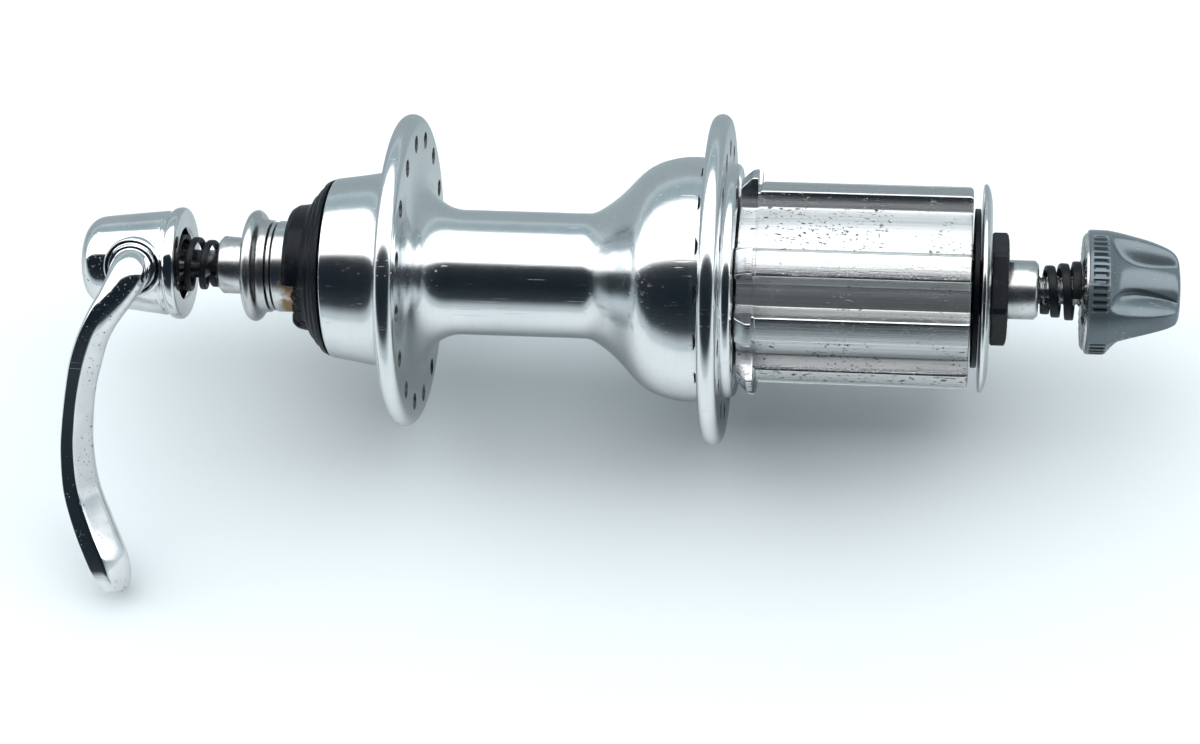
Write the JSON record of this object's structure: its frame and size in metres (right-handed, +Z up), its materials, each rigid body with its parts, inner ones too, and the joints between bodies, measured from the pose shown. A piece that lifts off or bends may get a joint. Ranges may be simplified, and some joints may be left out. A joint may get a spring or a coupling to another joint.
{
  "type": "bicycle rear hub",
  "caption": "Rear bicycle hub: flanged polished shell, splined freehub body, cone bearings, rubber boot, and a quick-release skewer with cam lever and adjusting nut.",
  "frame": {"origin": "on the axle's axis, midway between the outer faces of the two locknuts", "axes": "+X along the axle towards the drive side, +Z up, +Y towards the bicycle's front; the lever points to -Y"},
  "size_m": [0.19, 0.0818, 0.0564],
  "materials": {
    "polished_aluminium": "polished, worn bright with fine scratches",
    "spline_aluminium": "dull satin with lengthwise streaks and nicks",
    "bearing_steel": "ground and greased",
    "plated_steel": "zinc plated, turned",
    "black_steel": "black oxide",
    "chrome": "mirror chrome with pits and scratches",
    "black_rubber": "matt black rubber",
    "grey_plastic": "moulded grey-blue plastic, scuffed"
  },
  "bodies": {
    "axle": {"axle": "plated_steel", "left_locknut": "plated_steel", "left_keyed_washer": "plated_steel", "left_cone": "bearing_steel", "left_rubber_boot": "black_rubber", "right_cone": "bearing_steel", "right_spacer": "plated_steel", "right_rubber_seal": "black_rubber", "end_disc": "polished_aluminium", "right_locknut": "black_steel"},
    "hub_shell": {"hub_shell": "polished_aluminium", "left_bearing_cup": "bearing_steel", "left_dust_cap": "plated_steel", "freehub_core": "plated_steel", "freehub_bolt": "black_steel", "right_bearing_cup": "bearing_steel", "pawl_spring": "bearing_steel"},
    "left_balls": {"left_ball_1": "bearing_steel", "left_ball_2": "bearing_steel", "left_ball_3": "bearing_steel", "left_ball_4": "bearing_steel", "left_ball_5": "bearing_steel", "left_ball_6": "bearing_steel", "left_ball_7": "bearing_steel", "left_ball_8": "bearing_steel", "left_ball_9": "bearing_steel"},
    "right_balls": {"right_ball_1": "bearing_steel", "right_ball_2": "bearing_steel", "right_ball_3": "bearing_steel", "right_ball_4": "bearing_steel", "right_ball_5": "bearing_steel", "right_ball_6": "bearing_steel", "right_ball_7": "bearing_steel", "right_ball_8": "bearing_steel", "right_ball_9": "bearing_steel"},
    "freehub": {"freehub_body": "spline_aluminium", "ratchet_ring": "bearing_steel"},
    "freehub_inner_balls": {"freehub_inner_balls": "bearing_steel"},
    "freehub_outer_balls": {"freehub_outer_balls": "bearing_steel"},
    "pawl_1": {"pawl_1": "black_steel"},
    "pawl_2": {"pawl_2": "black_steel"},
    "left_spring": {"left_spring": "black_steel"},
    "skewer": {"skewer_rod": "plated_steel"},
    "cam_housing": {"cam_housing": "chrome"},
    "lever": {"lever": "chrome", "cam_nut": "chrome"},
    "right_spring": {"right_spring": "black_steel"},
    "nut": {"nut_insert": "plated_steel", "nut_knob": "grey_plastic"}
  },
  "joints": [
    {"name": "hub_spin", "type": "hinge", "parent": "axle", "child": "hub_shell", "pos_m": [0, 0, 0], "axis": [1, 0, 0], "continuous": true},
    {"name": "left_ball_orbit", "type": "hinge", "parent": "axle", "child": "left_balls", "pos_m": [0, 0, 0], "axis": [1, 0, 0], "continuous": true},
    {"name": "right_ball_orbit", "type": "hinge", "parent": "axle", "child": "right_balls", "pos_m": [0, 0, 0], "axis": [1, 0, 0], "continuous": true},
    {"name": "freehub_spin", "type": "hinge", "parent": "hub_shell", "child": "freehub", "pos_m": [0, 0, 0], "axis": [1, 0, 0], "continuous": true},
    {"name": "inner_ball_orbit", "type": "hinge", "parent": "hub_shell", "child": "freehub_inner_balls", "pos_m": [0, 0, 0], "axis": [1, 0, 0], "continuous": true},
    {"name": "outer_ball_orbit", "type": "hinge", "parent": "hub_shell", "child": "freehub_outer_balls", "pos_m": [0, 0, 0], "axis": [1, 0, 0], "continuous": true},
    {"name": "pawl_1_tilt", "type": "hinge", "parent": "hub_shell", "child": "pawl_1", "pos_m": [0.0316, 0.00636, 0.00758], "axis": [-1, 0, 0], "range_deg": [0, 6.5], "stiffness_Nm_per_rad": 0.01},
    {"name": "pawl_2_tilt", "type": "hinge", "parent": "hub_shell", "child": "pawl_2", "pos_m": [0.0316, -0.00636, -0.00758], "axis": [-1, 0, 0], "range_deg": [0, 6.5], "stiffness_Nm_per_rad": 0.01},
    {"name": "skewer_spin", "type": "hinge", "parent": "axle", "child": "left_spring", "pos_m": [0, 0, 0], "axis": [1, 0, 0], "continuous": true},
    {"name": "skewer_float", "type": "slide", "parent": "left_spring", "child": "skewer", "axis": [1, 0, 0], "range_m": [-0.002, 0.002], "stiffness_N_per_m": 600, "deforming": ["left_spring"]},
    {"name": "cam_throw", "type": "slide", "parent": "skewer", "child": "cam_housing", "axis": [-1, 0, 0], "range_m": [0, 0.00221]},
    {"name": "lever_turn", "type": "hinge", "parent": "cam_housing", "child": "lever", "pos_m": [-0.0835, 0, 0], "axis": [0, 0.4493, -0.8934], "range_deg": [0, 180]},
    {"name": "nut_advance", "type": "slide", "parent": "skewer", "child": "right_spring", "axis": [-1, 0, 0], "range_m": [-0.00321, 0.00321], "deforming": ["right_spring"]},
    {"name": "nut_turn", "type": "hinge", "parent": "right_spring", "child": "nut", "pos_m": [0, 0, 0], "axis": [-1, 0, 0], "range_deg": [-1440, 1440]}
  ],
  "couplings": [
    {"joint": "left_ball_orbit", "follows": "hub_spin", "ratio": 0.61},
    {"joint": "right_ball_orbit", "follows": "hub_spin", "ratio": 0.62},
    {"joint": "inner_ball_orbit", "follows": "freehub_spin", "ratio": 0.55},
    {"joint": "outer_ball_orbit", "follows": "freehub_spin", "ratio": 0.55},
    {"joint": "cam_throw", "follows": "lever_turn", "m_per_rad": 0.00070028},
    {"joint": "nut_advance", "follows": "nut_turn", "m_per_rad": 0.00012732}
  ]
}
